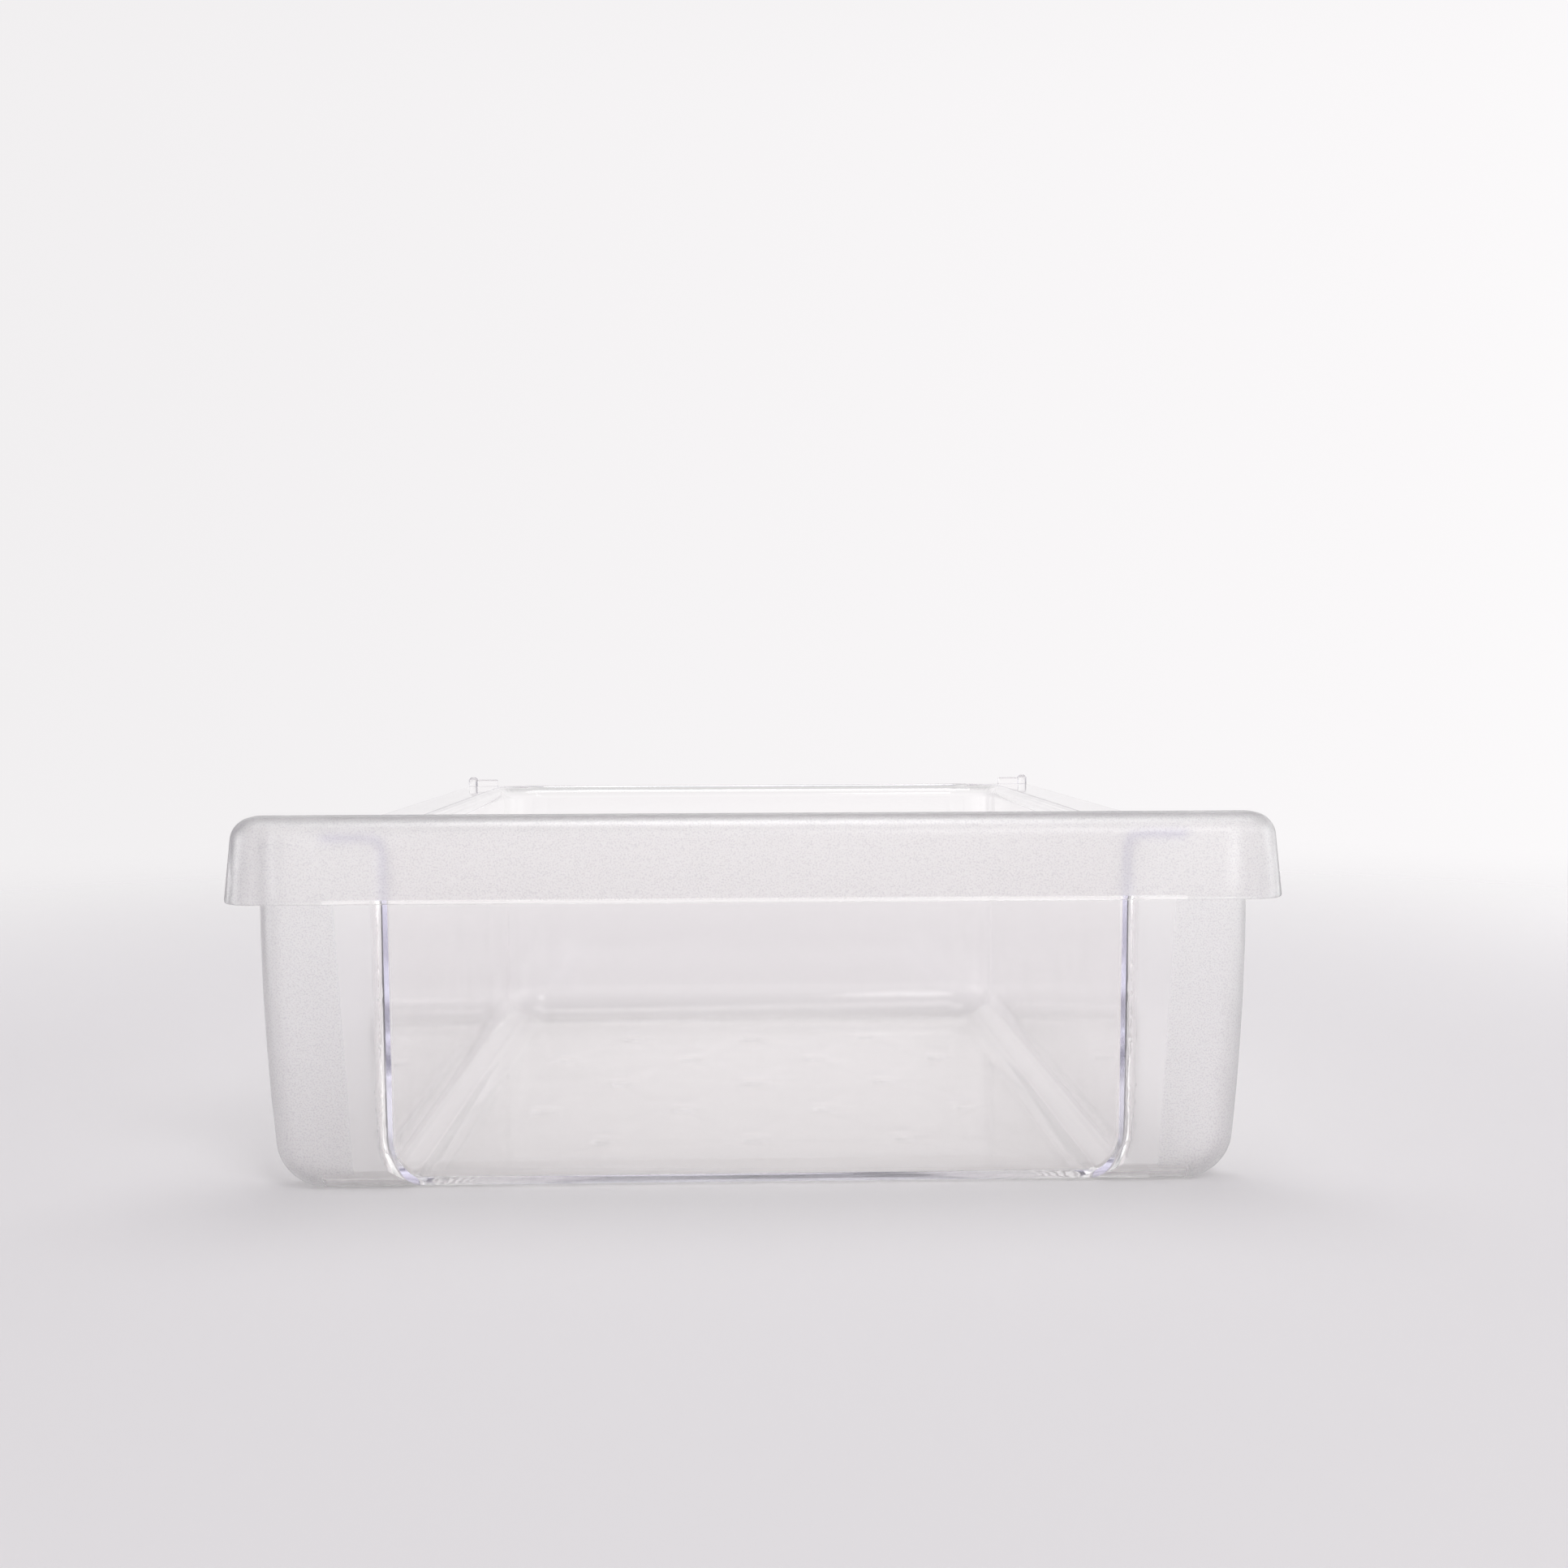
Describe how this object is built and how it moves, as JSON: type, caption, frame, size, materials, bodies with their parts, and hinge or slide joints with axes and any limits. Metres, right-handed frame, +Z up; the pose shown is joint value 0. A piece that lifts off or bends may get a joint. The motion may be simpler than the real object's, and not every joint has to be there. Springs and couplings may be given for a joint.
{
  "type": "refrigerator snack pan",
  "caption": "Clear moulded refrigerator pan with a wide winged front, a frosted hood handle to pull, side runners with rear stops that ride on rails, and raised round pads on its floor.",
  "frame": {"origin": "on the underside, below the middle of the pan", "axes": "+X across the pan to the right as seen from its front, +Y to the rear, +Z up; the handle faces -Y"},
  "size_m": [0.386, 0.3829, 0.1405],
  "materials": {
    "clear_plastic": "gloss"
  },
  "bodies": {
    "root": {"snack_pan": "clear_plastic"}
  },
  "joints": []
}
